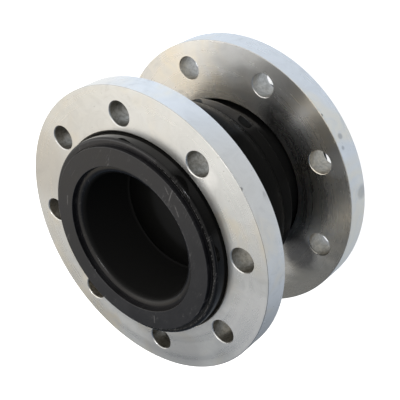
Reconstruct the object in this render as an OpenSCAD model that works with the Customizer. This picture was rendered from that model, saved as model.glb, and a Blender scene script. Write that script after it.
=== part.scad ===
// Flanged rubber expansion joint, nominal bore 100 mm.
//
// One moulded rubber body carries a bead at each end and an arch in the middle. A loose
// steel flange sits behind each bead and turns freely on the neck, so the bolt holes of
// the two flanges needn't line up. The pipe axis is Z and the part stands on its lower
// sealing face.
//
// The radial sizes are chained from the bore outwards: bore, wall, bead, flange recess,
// bolt holes, rim. A change to one of them moves everything outside it.

/* [Rubber body] */
// Diameter of the waterway
bore_d = 98; // [60:1:160]
// Wall of the neck
wall = 13; // [8:0.5:18]
// Height of the end bead over the neck
bead_h = 14; // [10:0.5:20]
// Rounding of the bead's front edge
bead_edge_r = 2; // [1:0.5:4]
// Width of the rounded lip between the waterway and the sealing ring
lip_w = 7.3; // [5:0.1:9]
// Width of the flat sealing ring
seal_w = 14.2; // [8:0.2:17]
// Step from the sealing ring down to the lip and to the bead
seal_step = 3.3; // [1:0.1:4]

/* [Arch] */
// Height of the arch's crown over the neck
arch_h = 15; // [12:0.5:30]
// Width of the arch between its two root lines
arch_w = 28; // [20:1:50]
// Height of the cuffs beside the arch, over the neck
cuff_h = 8.8; // [4:0.2:14]
// Width of each cuff
cuff_w = 13; // [8:0.5:20]
// Rounding of a cuff's shoulder and root
cuff_r = 3.5; // [1:0.5:5]

/* [Flanges] */
// Thickness of a flange
flange_t = 19; // [16:0.5:28]
// Clear space between the two flanges
flange_gap = 84; // [70:1:140]
// How far a sealing face stands out from its flange
seal_proud = 13; // [9:0.5:16]
// How deep the straight side of the bead reaches into the flange
seat_depth = 1.5; // [0.5:0.5:3]
// Clearance between the bead and its seat in the flange
seat_gap = 0.3; // [0.1:0.1:1]
// Clearance between the neck and the flange bore
neck_gap = 2; // [1:0.5:4]
// Clearance between the bead and the mouth of the flange recess
mouth_gap = 1.5; // [0.5:0.5:4]
// Chamfer of the flange edges
edge_chamfer = 0.6; // [0.2:0.2:2]

/* [Bolt holes] */
// Number of holes in a flange
bolt_count = 8; // [4:1:12]
// Diameter of a hole
bolt_hole_d = 18; // [12:0.5:24]
// Metal between the recess and a hole
bolt_land = 3.5; // [2:0.5:10]
// Metal between a hole and the rim
rim_land = 11; // [6:0.5:24]
// Turn of the lower flange against the upper one, in degrees
lower_turn = 16.7; // [0:0.1:45]

/* [Hidden] */
$fn = 160;
eps = 0.01;

bore_r = bore_d / 2;
neck_r = bore_r + wall;
bead_r = neck_r + bead_h;
cuff_top_r = neck_r + cuff_h;
crown_r = neck_r + arch_h;
mouth_r = bead_r + mouth_gap;
bolt_r = mouth_r + bolt_land + bolt_hole_d / 2;
flange_r = bolt_r + bolt_hole_d / 2 + rim_land;
flange_bore_r = neck_r + neck_gap;

// The side of the bead is straight from its front edge down into the flange.
side_z = seal_proud + seat_depth;
back_r = 0.65 * bead_h;
lip_r = 0.65 * lip_w;

overall_len = 2 * (seal_proud + flange_t) + flange_gap;
mid_z = overall_len / 2;

// A circle through the crown and the two root lines of the arch.
arch_rise = crown_r - cuff_top_r;
arch_r = (pow(arch_w / 2, 2) + pow(arch_rise, 2)) / (2 * arch_rise);

// The hollow inside the arch keeps the wall of the neck under the crown.
hollow_rise = crown_r - wall - bore_r;
hollow_w = arch_w + cuff_w;
hollow_r = (pow(hollow_w / 2, 2) + pow(hollow_rise, 2)) / (2 * hollow_rise);

// Rectangle from (r0, z0) to (r1, z1) in the section plane, with its corners rounded.
module rounded_box(r0, z0, r1, z1, r) {
    translate([r0 + r, z0]) square([r1 - r0 - 2 * r, z1 - z0]);
    translate([r0, z0 + r]) square([r1 - r0, z1 - z0 - 2 * r]);
    for (x = [r0 + r, r1 - r], y = [z0 + r, z1 - r]) translate([x, y]) circle(r = r);
}

// Rounded back of the bead, or with a gap the seat of the flange around it.
module bead_back(gap) {
    x = bead_r - back_r;
    translate([neck_r - eps, side_z - eps]) square([x - neck_r + eps, back_r + gap + eps]);
    intersection() {
        translate([x, side_z]) circle(r = back_r + gap);
        translate([x - eps, side_z - eps]) square(bead_h + 1);
    }
}

// Lower half of the rubber: lip, sealing ring, bead, neck and cuff.
module half_section() {
    front_z = seal_step + bead_edge_r;
    translate([bore_r, seal_step + lip_r]) square([wall, mid_z - seal_step - lip_r + eps]);
    translate([bore_r + lip_r, seal_step + lip_r]) circle(r = lip_r);
    translate([bore_r + lip_w, 0]) square([seal_w, seal_step + eps]);

    // Bead with a rounded front edge, a straight side and a rounded back
    translate([bore_r + lip_r, seal_step])
        square([bead_r - bead_edge_r - bore_r - lip_r, side_z - seal_step]);
    translate([bead_r - bead_edge_r, front_z]) circle(r = bead_edge_r);
    translate([neck_r, front_z]) square([bead_h, side_z - front_z]);
    bead_back(0);

    // Cuff with a rounded shoulder, and the fillet where it leaves the neck
    cuff_z = mid_z - arch_w / 2 - cuff_w;
    rounded_box(neck_r - 2 * cuff_r, cuff_z, cuff_top_r, mid_z, cuff_r);
    difference() {
        translate([neck_r - eps, cuff_z - cuff_r]) square([cuff_r, cuff_r + eps]);
        translate([neck_r + cuff_r, cuff_z - cuff_r]) circle(r = cuff_r);
    }
}

module rubber_section() {
    difference() {
        union() {
            half_section();
            translate([0, overall_len]) mirror([0, 1]) half_section();
            intersection() {
                translate([crown_r - arch_r, mid_z]) circle(r = arch_r);
                translate([neck_r, mid_z - arch_w / 2]) square([arch_h + 1, arch_w]);
            }
        }
        translate([bore_r + hollow_rise - hollow_r, mid_z]) circle(r = hollow_r);
    }
}

// Loose flange with a recess that seats the back of the bead.
module flange_section() {
    z0 = seal_proud;
    z1 = seal_proud + flange_t;
    c = edge_chamfer;
    difference() {
        polygon([
            [flange_bore_r, z0], [flange_r - c, z0], [flange_r, z0 + c], [flange_r, z1 - c],
            [flange_r - c, z1], [flange_bore_r + 2 * c, z1], [flange_bore_r, z1 - 2 * c]
        ]);
        bead_back(seat_gap);
        // Mouth of the recess, narrowing down to the seat
        polygon([
            [bore_r, z0 - 1], [mouth_r, z0 - 1], [mouth_r, z0],
            [bead_r + seat_gap, side_z], [bore_r, side_z]
        ]);
    }
}

module bolt_holes() {
    r = bolt_hole_d / 2;
    c = edge_chamfer;
    for (i = [0 : bolt_count - 1]) rotate((i + 0.5) * 360 / bolt_count) translate([bolt_r, 0, 0]) {
        translate([0, 0, seal_proud - 1]) cylinder(r = r, h = flange_t + 2);
        translate([0, 0, seal_proud - c]) cylinder(r1 = r + 2 * c, r2 = r, h = 2 * c);
        translate([0, 0, seal_proud + flange_t - c]) cylinder(r1 = r, r2 = r + 2 * c, h = 2 * c);
    }
}

// Both flanges are the same part: this one lies at the lower end.
module flange() {
    difference() {
        rotate_extrude() flange_section();
        bolt_holes();
    }
}

module rubber_body() {
    color("#1b1c1e") rotate_extrude() rubber_section();
}

module upper_flange() {
    color("#c6c8c6") translate([0, 0, overall_len]) mirror([0, 0, 1]) flange();
}

module lower_flange() {
    color("#c6c8c6") rotate(lower_turn) flange();
}

rubber_body();
upper_flange();
lower_flange();
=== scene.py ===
"""Flanged rubber expansion joint: the looks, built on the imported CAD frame.

Sections are in mm, materials and the stage in metres.
"""

import math

import bmesh
import bpy
from mathutils import Matrix, Vector

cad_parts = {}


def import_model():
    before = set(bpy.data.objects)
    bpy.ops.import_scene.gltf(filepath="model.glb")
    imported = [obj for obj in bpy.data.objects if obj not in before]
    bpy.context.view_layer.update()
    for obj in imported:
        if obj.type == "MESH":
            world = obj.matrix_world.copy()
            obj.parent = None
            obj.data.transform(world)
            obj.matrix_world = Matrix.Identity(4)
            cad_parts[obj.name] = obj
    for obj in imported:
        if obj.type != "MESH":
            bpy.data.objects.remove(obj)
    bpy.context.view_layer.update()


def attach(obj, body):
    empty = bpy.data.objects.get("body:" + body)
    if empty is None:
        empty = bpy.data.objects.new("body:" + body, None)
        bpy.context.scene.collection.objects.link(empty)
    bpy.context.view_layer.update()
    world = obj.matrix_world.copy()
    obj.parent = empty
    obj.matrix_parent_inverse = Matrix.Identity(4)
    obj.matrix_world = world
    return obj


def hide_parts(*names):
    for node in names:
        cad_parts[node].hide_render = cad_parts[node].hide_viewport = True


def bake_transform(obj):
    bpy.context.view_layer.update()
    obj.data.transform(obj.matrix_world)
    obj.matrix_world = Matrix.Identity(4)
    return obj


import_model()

MM = 0.001
LENGTH = 148.0  # over the two sealing faces
NECK, WATERWAY = 62.0, 49.0
SEAL_PROUD, FLANGE_T = 13.0, 19.0
FLANGE_R, BOLT_R, HOLE_R, HOLES = 110.0, 90.0, 9.0, 8
LOWER_TURN = 16.7
BEAD_R, BEAD_STEP, BEAD_SIDE, BEAD_BACK = 76.0, 3.3, 14.5, 9.1
LIP_R, CROWN_R, CUFF_R = 4.75, 77.0, 3.5
SEAT_GAP, NECK_GAP, MOUTH_R = 0.3, 2.0, 77.5
BODY_STEPS, FLANGE_STEPS, HOLE_STEPS = 300, 360, 72


# ---------------------------------------------------------------- geometry
def link(name, data):
    ob = bpy.data.objects.new(name, data)
    bpy.context.scene.collection.objects.link(ob)
    return ob


def arc(r, z, radius, a0, a1, n):
    """Points of an arc in the section plane; angles in degrees, from +r towards +z."""
    out = []
    for i in range(n + 1):
        a = math.radians(a0 + (a1 - a0) * i / n)
        out.append((r + radius * math.cos(a), z + radius * math.sin(a)))
    return out


def spin(name, loop, steps, material):
    """Turns a closed section about Z. loop goes round the section once."""
    me = bpy.data.meshes.new(name)
    n = len(loop)
    verts = []
    for s in range(steps):
        a = 2 * math.pi * s / steps
        c, w = math.cos(a) * MM, math.sin(a) * MM
        verts += [(r * c, r * w, z * MM) for r, z in loop]
    faces = []
    for s in range(steps):
        t = (s + 1) % steps
        for i in range(n):
            j = (i + 1) % n
            faces.append((s * n + i, t * n + i, t * n + j, s * n + j))
    me.from_pydata(verts, [], faces)
    me.materials.append(material)
    ob = link(name, me)
    bm = bmesh.new()
    bm.from_mesh(me)
    bmesh.ops.recalc_face_normals(bm, faces=bm.faces)
    bm.to_mesh(me)
    bm.free()
    return ob


def smooth(ob, degrees):
    me = ob.data
    me.polygons.foreach_set("use_smooth", [True] * len(me.polygons))
    me.set_sharp_from_angle(angle=math.radians(degrees))
    mod = ob.modifiers.new("normals", "WEIGHTED_NORMAL")
    mod.keep_sharp = True
    mod.weight = 80


def apply_all(ob):
    dg = bpy.context.evaluated_depsgraph_get()
    me = bpy.data.meshes.new_from_object(ob.evaluated_get(dg))
    old = ob.data
    ob.modifiers.clear()
    ob.data = me
    bpy.data.meshes.remove(old)


# ---------------------------------------------------------------- materials
class Nodes:
    """A short way to write a node tree."""

    def __init__(self, name):
        self.mat = bpy.data.materials.new(name)
        self.mat.use_nodes = True
        self.tree = self.mat.node_tree
        self.tree.nodes.clear()
        self.out = self.tree.nodes.new("ShaderNodeOutputMaterial")

    def put(self, socket, value):
        if isinstance(value, bpy.types.NodeSocket):
            self.tree.links.new(value, socket)
        else:
            socket.default_value = value

    def add(self, kind, props=None, out=0, **inputs):
        node = self.tree.nodes.new("ShaderNode" + kind)
        for k, v in (props or {}).items():
            setattr(node, k, v)
        for k, v in inputs.items():
            key = int(k[1:]) if k[0] == "i" and k[1:].isdigit() else k.replace("_", " ")
            self.put(node.inputs[key], v)
        return node.outputs[out]

    def math(self, op, a, b=0.0, clamp=False):
        return self.add("Math", {"operation": op, "use_clamp": clamp}, i0=a, i1=b)

    def plus(self, a, b, clamp=False):
        return self.math("ADD", a, b, clamp)

    def minus(self, a, b):
        return self.math("SUBTRACT", a, b)

    def times(self, a, b):
        return self.math("MULTIPLY", a, b)

    def without(self, a, b):
        """a where b isn't."""
        return self.times(a, self.minus(1.0, b))

    def ragged(self, value, cloud, amount):
        """Moves a value up and down with a noise, for an uneven edge."""
        return self.plus(value, self.times(self.minus(cloud, 0.5), amount))

    def dot(self, a, b):
        return self.add("VectorMath", {"operation": "DOT_PRODUCT"}, 1, i0=a, i1=b)

    def distance(self, a, b):
        return self.add("VectorMath", {"operation": "DISTANCE"}, 1, i0=a, i1=b)

    def noise(self, vector, scale, detail=3.0, rough=0.55, distortion=0.0):
        return self.add("TexNoise", Vector=vector, Scale=scale, Detail=detail, Roughness=rough,
                        Distortion=distortion)

    def ramp(self, value, lo, hi, to0=0.0, to1=1.0):
        return self.add("MapRange", {"interpolation_type": "SMOOTHSTEP"}, Value=value, From_Min=lo, From_Max=hi,
                        To_Min=to0, To_Max=to1)

    def mix(self, factor, a, b):
        node = self.tree.nodes.new("ShaderNodeMix")
        node.data_type = "RGBA"
        self.put(node.inputs[0], factor)
        self.put(node.inputs[6], a)
        self.put(node.inputs[7], b)
        return node.outputs[2]

    def cylinder(self):
        """Object position, with its x, y, z, radius and angle, in metres and radians."""
        p = self.add("TexCoord", None, 3)
        sep = self.tree.nodes.new("ShaderNodeSeparateXYZ")
        self.put(sep.inputs[0], p)
        x, y, z = sep.outputs
        r = self.math("SQRT", self.plus(self.times(x, x), self.times(y, y)))
        return p, x, y, z, r, self.math("ARCTAN2", y, x)

    def vector(self, x, y, z):
        return self.add("CombineXYZ", X=x, Y=y, Z=z)

    def drawn(self, r, a, z, turn, fine):
        """Coordinates for a noise that is drawn out round the axis."""
        return self.vector(self.times(a, turn), self.times(r, fine), self.times(z, fine))

    def bump(self, height, distance):
        node = self.tree.nodes.new("ShaderNodeBump")
        node.inputs["Strength"].default_value = 1.0
        node.inputs["Distance"].default_value = distance
        self.put(node.inputs["Height"], height)
        return node.outputs[0]

    def stroke(self, p, start, end, width):
        """1 on a straight scratch from start to end, 0 off it."""
        start, end = Vector(start), Vector(end)
        along = end - start
        rel = self.add("VectorMath", {"operation": "SUBTRACT"}, i0=p, i1=start)
        t = self.plus(self.dot(rel, along / along.length_squared), 0.0, clamp=True)
        foot = self.tree.nodes.new("ShaderNodeVectorMath")
        foot.operation = "SCALE"
        foot.inputs[0].default_value = along
        self.put(foot.inputs["Scale"], t)
        return self.ramp(self.distance(rel, foot.outputs[0]), width, 0.3 * width)

    def surface(self, **inputs):
        bsdf = self.add("BsdfPrincipled", **inputs)
        self.tree.links.new(bsdf, self.out.inputs[0])
        return self.mat


def rubber_material():
    m = Nodes("satin_rubber")
    p, x, y, z, r, a = m.cylinder()
    # Mould lines and rubbing marks run round the axis.
    rings = m.noise(m.drawn(r, a, z, 0.35, 900.0), 1.0, 2.0, 0.5)
    cloud = m.noise(p, 38.0, 4.0, 0.6, 0.4)
    grain = m.noise(p, 2600.0, 2.0, 0.6)
    scuff = m.noise(m.drawn(r, a, z, 9.0, 160.0), 1.0, 5.0, 0.7, 0.8)
    dust = m.ramp(scuff, 0.56, 0.74)
    # The end faces are ground dull, the waterway is dusty, and the sides keep the gloss of the mould.
    height_off = m.math("ABSOLUTE", m.minus(z, LENGTH / 2 * MM))
    end = m.ramp(height_off, 0.0688, 0.0704)
    ground = m.times(end, m.ramp(r, 0.0758, 0.0746))
    hollow = m.times(m.ramp(height_off, 0.0245, 0.0235), m.ramp(r, 0.0670, 0.0660))
    dusty = m.math("MAXIMUM", m.ramp(r, 0.0512, 0.0493), hollow)
    hollow = m.times(hollow, m.ramp(r, 0.0505, 0.0545))
    lip = m.ramp(r, 0.0560, 0.0545)
    arch = m.ramp(height_off, 0.020, 0.010)
    # The gloss is lowered on a band of the side facing about +x, so that it stays black: painted shade. The grey
    # end finish is mostly taken off the bead's top away from its +y, -x side: painted shade too.
    shaded_front = m.ramp(m.math("DIVIDE", m.dot(p, (0.985, 0.174, 0.0)), r), 0.93, 0.965)
    edge = m.ramp(r, 0.0712, 0.0716)
    shaded_bead_top = m.ramp(m.ragged(a, cloud, 0.3), 0.66, 0.60)
    ground = m.without(ground, m.times(m.times(edge, shaded_bead_top), 0.8))
    # Black where it is clean, grey where it is ground, dusty or rubbed.
    tone = m.mix(m.ramp(cloud, 0.3, 0.75), (0.0046, 0.0044, 0.0056, 1), (0.0082, 0.0080, 0.0096, 1))
    tone = m.mix(m.times(dust, 0.35), tone, (0.036, 0.035, 0.036, 1))
    tone = m.mix(ground, (0.0046, 0.0046, 0.0046, 1), tone)
    tone = m.mix(dusty, tone, (0.0115, 0.0115, 0.0115, 1))
    tone = m.mix(hollow, tone, (0.034, 0.034, 0.034, 1))
    # The side between the flanges facing about -35 degrees round the axis is made matt and black: painted shade.
    shade_side = m.plus(m.math("ABSOLUTE", m.plus(a, 0.62)), m.times(cloud, 0.35))
    shade_side = m.ramp(shade_side, 1.36, 1.08)
    shade_side = m.times(shade_side, m.ramp(height_off, 0.048, 0.044))
    tone = m.mix(m.without(shade_side, dusty), tone, (0.010, 0.010, 0.010, 1))
    # Scratches and worn edges of the sealing face.
    speck = m.noise(p, 900.0, 3.0, 0.6)
    along, across = m.plus(m.times(x, 26.0), m.times(y, 14.0)), m.minus(m.times(y, 210.0), m.times(x, 120.0))
    hair = m.noise(m.vector(along, across, 0.0), 1.0, 2.0, 0.5)
    hair = m.ramp(m.math("ABSOLUTE", m.minus(hair, 0.5)), 0.012, 0.002)
    marks = m.times(hair, m.ramp(m.noise(p, 90.0, 2.0), 0.52, 0.66))
    for begin, stop in SCRATCHES:
        marks = m.math("MAXIMUM", marks, m.stroke(p, begin, stop, 0.0007))
    # Worn rings: radius, width, and the angles they run between.
    for radius, wide, low, back in ((0.0567, 0.0007, -0.55, 0.4), (0.0732, 0.0006, -4.0, 0.5)):
        off = m.math("ABSOLUTE", m.minus(m.plus(r, m.times(speck, 0.0006)), radius + 0.0003))
        worn = m.times(m.ramp(off, wide, 0.3 * wide), m.ramp(speck, 0.46, 0.60))
        worn = m.times(worn, m.times(m.ramp(a, back + 0.4, back), m.ramp(a, low, low + 0.3)))
        marks = m.math("MAXIMUM", marks, worn)
    marks = m.times(m.times(marks, end), m.ramp(speck, 0.34, 0.48))
    tone = m.mix(m.times(marks, 0.75), tone, (0.095, 0.092, 0.092, 1))
    rough = m.plus(m.ramp(cloud, 0.3, 0.75, 0.28, 0.38), m.times(dust, 0.2))
    side = m.plus(m.ramp(cloud, 0.3, 0.75, 0.06, 0.12), m.times(arch, 0.20))
    side = m.plus(side, m.times(dusty, 0.5))
    rough = m.add("Mix", Factor=ground, A=side, B=rough)
    gleam = m.minus(0.24, m.times(shaded_front, 0.19))
    bright = m.minus(0.56, m.times(lip, 0.24))
    gleam = m.add("Mix", Factor=ground, A=gleam, B=bright)
    for mask, share in ((dusty, 0.97), (arch, 0.5), (shade_side, 0.92)):
        gleam = m.without(gleam, m.times(mask, share))
    height = m.plus(m.times(rings, 0.5), m.plus(m.times(grain, 0.30), m.times(scuff, 0.5)))
    height = m.times(height, m.plus(0.35, m.times(ground, 0.65)))
    tint = m.mix(m.times(ground, lip), (0.96, 0.96, 1.0, 1), (1.0, 0.97, 0.93, 1))
    return m.surface(Base_Color=tone, Roughness=rough, Specular_IOR_Level=gleam, Specular_Tint=tint,
                     Normal=m.bump(height, 0.00006))


def steel_material(name, tint, dark, rough, turned, anisotropy, fan=0.0, low_side_shade=0.0, soil=0.55, grit=0.0, spots=()):
    """Turned, zinc plated steel. turned scales the marks of the lathe, fan is the share of their broad gloss."""
    m = Nodes(name)
    p, _, _, z, r, a = m.cylinder()
    lathe = m.noise(m.drawn(r, a, z, 0.25, 1500.0), 1.0, 2.0, 0.6)
    broad = m.noise(m.drawn(r, a, z, 0.5, 160.0), 1.0, 3.0, 0.6)
    cloud = m.noise(p, 24.0, 5.0, 0.6, 0.6)
    patch = m.noise(p, 75.0, 4.0, 0.62, 1.2)
    speck = m.noise(p, 420.0, 2.0, 0.5)
    stain = m.times(m.ramp(cloud, 0.52, 0.78), m.ramp(patch, 0.50, 0.66))
    pit = m.ramp(speck, 0.74, 0.80)
    warm = (1.05 * tint[0], 0.98 * tint[1], 0.86 * tint[2], 1)
    tone = m.mix(m.ramp(m.noise(p, 17.0, 3.0, 0.55, 0.8), 0.47, 0.66), tint, warm)
    tone = m.mix(m.ramp(patch, 0.35, 0.7, 0.0, 0.6), tone, tuple(0.90 * c for c in tint[:3]) + (1,))
    tone = m.mix(m.times(stain, soil), tone, dark)
    tone = m.mix(m.times(pit, 0.6), tone, (0.22, 0.20, 0.17, 1))
    if grit:
        tone = m.mix(m.ramp(m.noise(p, 380.0, 4.0, 0.70), 0.36, 0.66, 0.0, grit), tone, dark)
    # Painted shade: the tone darkens towards -y on the inner faces.
    if low_side_shade:
        low = m.ragged(m.dot(p, (0.20, -0.98, 0.0)), cloud, 0.05)
        tone = m.mix(m.ramp(low, 0.070, 0.103, 0.0, low_side_shade), tone, (0.24, 0.24, 0.23, 1))
    # Spots lay smudges and painted reflections over the tone.
    for place, size, share, hue in spots:
        off = m.ragged(m.distance(p, place), patch, 0.6 * size)
        tone = m.mix(m.ramp(off, size, 0.45 * size, 0.0, share), tone, hue)
    gloss = m.plus(rough, m.plus(m.ramp(broad, 0.3, 0.7, -0.03, 0.05), m.times(stain, 0.10)))
    gloss = m.plus(gloss, m.ramp(cloud, 0.3, 0.7, -0.02, 0.03), clamp=True)
    height = m.plus(m.times(lathe, turned), m.times(patch, 0.22))
    height = m.minus(height, m.times(pit, 1.5))
    tangent = m.add("Tangent", {"direction_type": "RADIAL", "axis": "Z"})
    normal = m.bump(height, 0.000035)
    shared = dict(Base_Color=tone, Metallic=1.0, Anisotropic_Rotation=0.25, Tangent=tangent, Normal=normal)
    fine = m.add("BsdfPrincipled", Roughness=gloss, Anisotropic=anisotropy, **shared)
    wide = m.add("BsdfPrincipled", Roughness=0.37, Anisotropic=1.0, **shared)
    both = m.tree.nodes.new("ShaderNodeMixShader")
    if low_side_shade:
        # The broad gloss fades towards the neck on the side that faces the rubber's reflection.
        near_neck = m.ramp(r, 0.078, 0.098, 0.02, fan)
        m.put(both.inputs[0], m.math("MAXIMUM", near_neck, m.ramp(a, 0.45, 0.70, 0.0, fan)))
    else:
        both.inputs[0].default_value = fan
    m.tree.links.new(fine, both.inputs[1])
    m.tree.links.new(wide, both.inputs[2])
    m.tree.links.new(both.outputs[0], m.out.inputs[0])
    return m.mat


# Scratches in the upper sealing face, from and to, in metres.
TOP = LENGTH * MM
SCRATCHES = (
    ((0.0605, 0.0292, TOP), (0.0603, 0.0242, TOP)),
    ((0.0651, 0.0254, TOP), (0.0580, 0.0196, TOP)),
    ((0.0612, 0.0150, TOP), (0.0600, 0.0080, TOP)),
    ((-0.0150, -0.0640, TOP), (-0.0120, -0.0590, TOP)),
    ((-0.0480, 0.0380, TOP), (-0.0430, 0.0440, TOP)),
)
RUBBER = rubber_material()
# Dark smudges on the rims, and painted reflections on the turned faces: each spot is a place in metres, a size, a
# share and a hue.
SOOT_AND_DARK_REFLECTION, PAINTED_GREY_REFLECTION, PAINTED_PALE_REFLECTION = (0.09, 0.09, 0.095, 1), (0.52, 0.52, 0.53, 1), (0.98, 0.98, 0.98, 1)
# The near face's spots are painted reflections: two pale, one grey and one warm brown.
FACE = steel_material("turned_face", (0.80, 0.81, 0.815, 1), (0.52, 0.50, 0.46, 1), 0.29, 0.5, 0.35, 0.08,
                      spots=(((0.0665, -0.0885, 0.1350), 0.047, 0.95, PAINTED_PALE_REFLECTION),
                             ((0.0780, 0.0255, 0.1350), 0.019, 0.90, PAINTED_PALE_REFLECTION),
                             ((-0.0260, -0.0890, 0.1350), 0.042, 0.55, PAINTED_GREY_REFLECTION),
                             ((-0.0735, 0.0735, 0.1350), 0.040, 0.45, (0.60, 0.57, 0.53, 1))))
# The inner faces' spots are painted reflections, the dark one standing for the rubber's.
BACK = steel_material("turned_back", (0.84, 0.84, 0.84, 1), (0.42, 0.40, 0.36, 1), 0.24, 0.4, 0.30, 0.30, 0.90,
                      spots=(((0.0350, -0.0720, 0.0320), 0.022, 0.85, SOOT_AND_DARK_REFLECTION),
                             ((0.0766, 0.0643, 0.0320), 0.024, 0.90, PAINTED_PALE_REFLECTION),
                             ((0.1025, -0.0145, 0.0320), 0.013, 0.90, PAINTED_PALE_REFLECTION)))
EDGE = steel_material("broken_edge", (0.50, 0.50, 0.49, 1), (0.30, 0.28, 0.25, 1), 0.38, 0.4, 0.0)
RIM = steel_material("turned_rim", (0.82, 0.83, 0.84, 1), (0.38, 0.38, 0.39, 1), 0.28, 0.7, 0.30, 0.03,
                     spots=(((0.1098, 0.0036, 0.0250), 0.0032, 0.38, SOOT_AND_DARK_REFLECTION),
                            ((0.1099, -0.0045, 0.0272), 0.0022, 0.38, SOOT_AND_DARK_REFLECTION),
                            ((0.1020, -0.0412, 0.0175), 0.0070, 0.30, SOOT_AND_DARK_REFLECTION),
                            ((0.1094, 0.0115, 0.1343), 0.0016, 0.60, SOOT_AND_DARK_REFLECTION),
                            ((0.1076, 0.0229, 0.0313), 0.0014, 0.70, SOOT_AND_DARK_REFLECTION)))
HOLE = steel_material("drilled_wall", (0.42, 0.40, 0.36, 1), (0.09, 0.08, 0.065, 1), 0.42, 5.0, 0.0,
                      soil=0.8, grit=0.50)
LOW_HOLE = steel_material("worn_hole_wall", (0.60, 0.58, 0.545, 1), (0.16, 0.14, 0.115, 1), 0.42, 5.0, 0.0,
                          soil=0.7, grit=0.42)
SEAT = steel_material("turned_seat", (0.72, 0.71, 0.68, 1), (0.40, 0.37, 0.32, 1), 0.36, 1.0, 0.45)


# ---------------------------------------------------------------- rubber body
def half_outside():
    """Lower half of the section, from the waterway round the lip and the bead up to the crown."""
    step = BEAD_STEP
    pts = arc(WATERWAY + LIP_R, step + LIP_R, LIP_R, 180, 270, 16)
    pts += [(55.4, step + 0.04), (55.75, step + 0.3), (56.2, step + 0.35), (56.3, step)]
    pts += arc(56.65, 0.35, 0.35, 180, 270, 4) + arc(70.15, 0.35, 0.35, 270, 360, 4)
    pts += [(70.5, step), (70.6, step + 0.4), (71.05, step + 0.42), (71.35, step + 0.08)]
    pts += arc(BEAD_R - 2.1, step + 2.0, 2.0, 270, 355, 12) + [(BEAD_R, step + 3.2), (BEAD_R, 9.0)]
    pts += arc(BEAD_R - BEAD_BACK, BEAD_SIDE, BEAD_BACK, 0, 90, 16)
    pts += arc(NECK + 1.0, BEAD_SIDE + BEAD_BACK + 1.0, 1.0, 270, 180, 4)
    pts += [(NECK, 34.0)]
    pts += arc(NECK + CUFF_R, 43.5, CUFF_R, 180, 90, 8) + arc(67.3, 50.5, CUFF_R, -90, 0, 10)
    pts += [(70.75, 55.0), (70.7, 58.6)] + arc(70.9, 59.6, 0.55, 215, 150, 4)
    pts += arc(58.1, 74.0, 18.9, -45.0, -1.6, 22) + [(CROWN_R, 73.62), (CROWN_R, 73.8)]
    return pts


def rubber_section():
    half = half_outside()
    loop = half + [(r, LENGTH - z) for r, z in reversed(half)]
    inner = arc(WATERWAY - 3.0, 50.4, 3.0, 0, 44, 6)
    inner += arc(WATERWAY - 6.5, 74.0, 21.5, -68.0, 0, 22)[1:]
    loop += [(WATERWAY, LENGTH - 20.0), (WATERWAY, LENGTH - 38.0)]
    loop += [(r, LENGTH - z) for r, z in inner] + [(r, z) for r, z in reversed(inner[:-1])]
    loop += [(WATERWAY, 38.0), (WATERWAY, 20.0)]
    return loop


rubber = spin("rubber_joint_body", rubber_section(), BODY_STEPS, RUBBER)
smooth(rubber, 40.0)
apply_all(rubber)


# ---------------------------------------------------------------- flanges
def flange_loop():
    """Section of the lower flange: outer face at z0, inner face at z1."""
    z0, z1 = SEAL_PROUD, SEAL_PROUD + FLANGE_T
    seat, bore = BEAD_BACK + SEAT_GAP, NECK + NECK_GAP
    c = 0.5  # rounding of the outer edges
    pts = [(MOUTH_R + 0.45, z0), (FLANGE_R - c, z0)]
    pts += arc(FLANGE_R - c, z0 + c, c, -75, 0, 4)
    pts += arc(FLANGE_R - c, z1 - c, c, 0, 90, 5)
    pts += arc(bore + 1.2, z1 - 1.2, 1.2, 90, 180, 6)
    pts += [(bore, BEAD_SIDE + seat + 0.4), (bore + 0.4, BEAD_SIDE + seat)]
    pts += arc(BEAD_R - BEAD_BACK, BEAD_SIDE, seat, 90, 0, 12)
    pts += [(MOUTH_R, z0 + 0.25), (MOUTH_R + 0.15, z0 + 0.08)]
    return pts


def hole_cutter(name, turn):
    z0, z1 = SEAL_PROUD, SEAL_PROUD + FLANGE_T
    half = [(HOLE_R + 2.6, z0 - 2), (HOLE_R + 0.6, z0), (HOLE_R + 0.22, z0 + 0.38), (HOLE_R, z0 + 0.9)]
    section = half + [(r, z0 + z1 - z) for r, z in reversed(half)]
    bm = bmesh.new()
    for k in range(HOLES):
        a = math.radians((k + 0.5) * 360 / HOLES + turn)
        cx, cy = BOLT_R * math.cos(a), BOLT_R * math.sin(a)
        rings = []
        for r, z in section:
            rings.append([
                bm.verts.new(((cx + r * math.cos(t)) * MM, (cy + r * math.sin(t)) * MM, z * MM))
                for t in (2 * math.pi * s / HOLE_STEPS for s in range(HOLE_STEPS))
            ])
        for lo, hi in zip(rings, rings[1:]):
            for s in range(HOLE_STEPS):
                t = (s + 1) % HOLE_STEPS
                bm.faces.new((lo[s], lo[t], hi[t], hi[s]))
        bm.faces.new(list(reversed(rings[0])))
        bm.faces.new(rings[-1])
    bmesh.ops.recalc_face_normals(bm, faces=bm.faces)
    me = bpy.data.meshes.new(name)
    bm.to_mesh(me)
    bm.free()
    return link(name, me)


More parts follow.
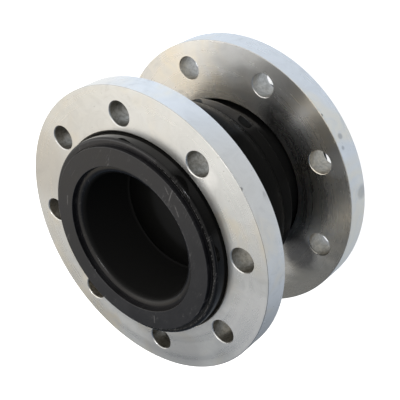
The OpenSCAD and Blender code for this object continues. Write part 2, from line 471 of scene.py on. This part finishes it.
def flange(name, turn, upper, wall):
    ob = spin(name, flange_loop(), FLANGE_STEPS, FACE)
    cutter = hole_cutter(name + "_holes", turn)
    mod = ob.modifiers.new("holes", "BOOLEAN")
    mod.operation, mod.solver, mod.object = "DIFFERENCE", "EXACT", cutter
    apply_all(ob)
    cut = cutter.data
    bpy.data.objects.remove(cutter)
    bpy.data.meshes.remove(cut)
    for slot in (RIM, wall, SEAT, BACK, EDGE):
        ob.data.materials.append(slot)
    on_face, on_rim, on_wall, on_seat, on_back, on_edge = range(6)
    for f in ob.data.polygons:
        r = math.hypot(f.center.x, f.center.y) / MM
        z = f.center.z / MM
        flat = on_back if z > SEAL_PROUD + FLANGE_T / 2 else on_face
        # The chamfers of the holes shine like the faces they lie in.
        steep = 0.3 if 79.0 < r < FLANGE_R - 2.0 else 0.97
        if abs(f.normal.z) > steep and r > 77.6:
            f.material_index = flat
        elif r > FLANGE_R - 0.9:
            f.material_index = on_edge if abs(f.normal.z) > 0.3 else on_rim
        elif r > 79.0:
            f.material_index = on_wall
        elif z < SEAL_PROUD + FLANGE_T - 1.0:
            f.material_index = on_seat
        else:
            f.material_index = on_back
    if upper:
        ob.data.transform(Matrix.Translation((0, 0, LENGTH * MM)) @ Matrix.Diagonal((1, 1, -1, 1)))
        ob.data.flip_normals()
    smooth(ob, 32.0)
    apply_all(ob)
    return ob


top_ring = flange("upper_steel_flange", 0.0, True, HOLE)
low_ring = flange("lower_steel_flange", LOWER_TURN, False, LOW_HOLE)

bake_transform(rubber)
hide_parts("rubber_body")
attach(top_ring, "upper_end")
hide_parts("upper_flange")
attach(low_ring, "lower_ring")
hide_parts("lower_flange")


# ---------------------------------------------------------------- floor, light, camera
def floor_material():
    m = Nodes("pale_floor")
    p = m.add("TexCoord", None, 3)
    tone = m.mix(m.noise(p, 3.0, 2.0), (0.74, 0.74, 0.74, 1), (0.77, 0.77, 0.77, 1))
    diffuse = m.add("BsdfDiffuse", Color=tone)
    path = m.tree.nodes.new("ShaderNodeLightPath")
    seen = m.times(path.outputs["Is Camera Ray"], 0.85)
    glow = m.add("Emission", Color=(1, 1, 1, 1), Strength=seen)
    lit = m.tree.nodes.new("ShaderNodeAddShader")
    m.tree.links.new(diffuse, lit.inputs[0])
    m.tree.links.new(glow, lit.inputs[1])
    # Metal sees the floor as a white sheet that falls off away from the light and in the part's own shadow.
    sep = m.tree.nodes.new("ShaderNodeSeparateXYZ")
    m.put(sep.inputs[0], p)
    x, y = sep.outputs[0], sep.outputs[1]
    fall = m.times(y, m.minus(1.67, m.times(x, 5.2)))
    level = m.math("MINIMUM", m.math("MAXIMUM", m.plus(0.77, fall), 0.36), 1.08)
    hue = m.mix(m.ramp(x, 0.17, 0.24), (0.87, 0.95, 1.05, 1), (0.83, 0.83, 0.81, 1))
    hue = m.mix(m.ramp(x, -0.04, -0.11), hue, (0.94, 0.95, 0.95, 1))
    level = m.times(level, m.ramp(m.distance(p, (-0.06, -0.15, 0.0)), 0.03, 0.14, 0.75, 1.0))
    sheet = m.add("Emission", Color=hue, Strength=level)
    both = m.tree.nodes.new("ShaderNodeMixShader")
    m.tree.links.new(path.outputs["Is Glossy Ray"], both.inputs[0])
    m.tree.links.new(lit.outputs[0], both.inputs[1])
    m.tree.links.new(sheet, both.inputs[2])
    m.tree.links.new(both.outputs[0], m.out.inputs[0])
    return m.mat


def floor():
    me = bpy.data.meshes.new("floor")
    s = 4.0
    me.from_pydata([(-s, -s, 0), (s, -s, 0), (s, s, 0), (-s, s, 0)], [], [(0, 1, 2, 3)])
    me.materials.append(floor_material())
    ob = link("floor", me)


def world():
    w = bpy.data.worlds.new("studio")
    bpy.context.scene.world = w
    w.use_nodes = True
    t = w.node_tree
    t.nodes.clear()
    out = t.nodes.new("ShaderNodeOutputWorld")
    coord = t.nodes.new("ShaderNodeTexCoord")

    def spread(direction, start, end, low, high):
        """low away from a direction, high towards it; start and end are cosines."""
        dot = t.nodes.new("ShaderNodeVectorMath")
        dot.operation = "DOT_PRODUCT"
        t.links.new(coord.outputs["Generated"], dot.inputs[0])
        dot.inputs[1].default_value = direction
        span = t.nodes.new("ShaderNodeMapRange")
        span.interpolation_type = "SMOOTHSTEP"
        t.links.new(dot.outputs["Value"], span.inputs["Value"])
        for key, value in zip(("From Min", "From Max", "To Min", "To Max"), (start, end, low, high)):
            span.inputs[key].default_value = value
        return span.outputs[0]

    def lay(share, below, colour):
        """Lays a colour over what is below, which is a colour too or a socket."""
        mix = t.nodes.new("ShaderNodeMix")
        mix.data_type = "RGBA"
        t.links.new(share, mix.inputs[0])
        if isinstance(below, bpy.types.NodeSocket):
            t.links.new(below, mix.inputs[6])
        else:
            mix.inputs[6].default_value = below
        mix.inputs[7].default_value = colour
        return mix.outputs[2]

    dark = (0.05, 0.055, 0.06, 1)
    light = lay(spread((0.0, 0.593, 0.805), 0.16, 0.60, 0.0, 1.0), (0.115, 0.15, 0.20, 1), (1.20, 1.165, 1.09, 1))
    light = lay(spread((-0.57, -0.27, 0.776), 0.986, 0.997, 0.0, 0.25), light, dark)
    light = lay(spread((-0.80, -0.27, 0.535), 0.985, 0.998, 0.0, 0.6), light, dark)
    light = lay(spread((-0.84, 0.05, 0.540), 0.968, 0.992, 0.0, 0.6), light, (0.92, 0.80, 0.61, 1))
    soft = t.nodes.new("ShaderNodeBackground")
    t.links.new(light, soft.inputs[0])
    soft.inputs[1].default_value = 1.0
    plain = t.nodes.new("ShaderNodeBackground")
    plain.inputs[0].default_value = (1, 1, 1, 1)
    plain.inputs[1].default_value = 1.0
    path = t.nodes.new("ShaderNodeLightPath")
    pick = t.nodes.new("ShaderNodeMixShader")
    t.links.new(path.outputs["Is Camera Ray"], pick.inputs[0])
    t.links.new(soft.outputs[0], pick.inputs[1])
    t.links.new(plain.outputs[0], pick.inputs[2])
    t.links.new(pick.outputs[0], out.inputs[0])


def area(name, place, aim, size, power, colour):
    li = bpy.data.lights.new(name, "AREA")
    li.shape = "RECTANGLE"
    li.size, li.size_y = size
    li.energy = power
    li.color = colour
    ob = link(name, li)
    ob.location = place
    ob.rotation_euler = (Vector(aim) - Vector(place)).to_track_quat("-Z", "Y").to_euler()


floor()
world()
CENTRE = (0, 0, 0.075)
area("key", (-0.75, 0.85, 1.35), CENTRE, (1.1, 0.8), 2.0, (1.0, 0.985, 0.96))
area("lamp", (0.60, 0.285, 1.53), CENTRE, (0.13, 0.13), 4.5, (0.97, 0.985, 1.0))

cam = bpy.data.cameras.new("camera")
cam.sensor_width = 36.0
cam.lens = 78.08  # fitted to the photo, like the place and the turn below
eye = link("camera", cam)
bpy.context.scene.camera = eye
SIGHT = Vector((-0.73461, -0.15563, -0.66041)).normalized()
RIGHT = Vector((0.65455, -0.41891, -0.62936))
RIGHT = (RIGHT - RIGHT.dot(SIGHT) * SIGHT).normalized()
UP = RIGHT.cross(SIGHT)
spot = Matrix((RIGHT, UP, -SIGHT)).transposed().to_4x4()
spot.translation = Vector((0.48341, 0.09912, 0.50552))
eye.matrix_world = spot
cam.clip_start, cam.clip_end = 0.05, 20.0

bpy.context.scene.view_settings.view_transform = "Standard"
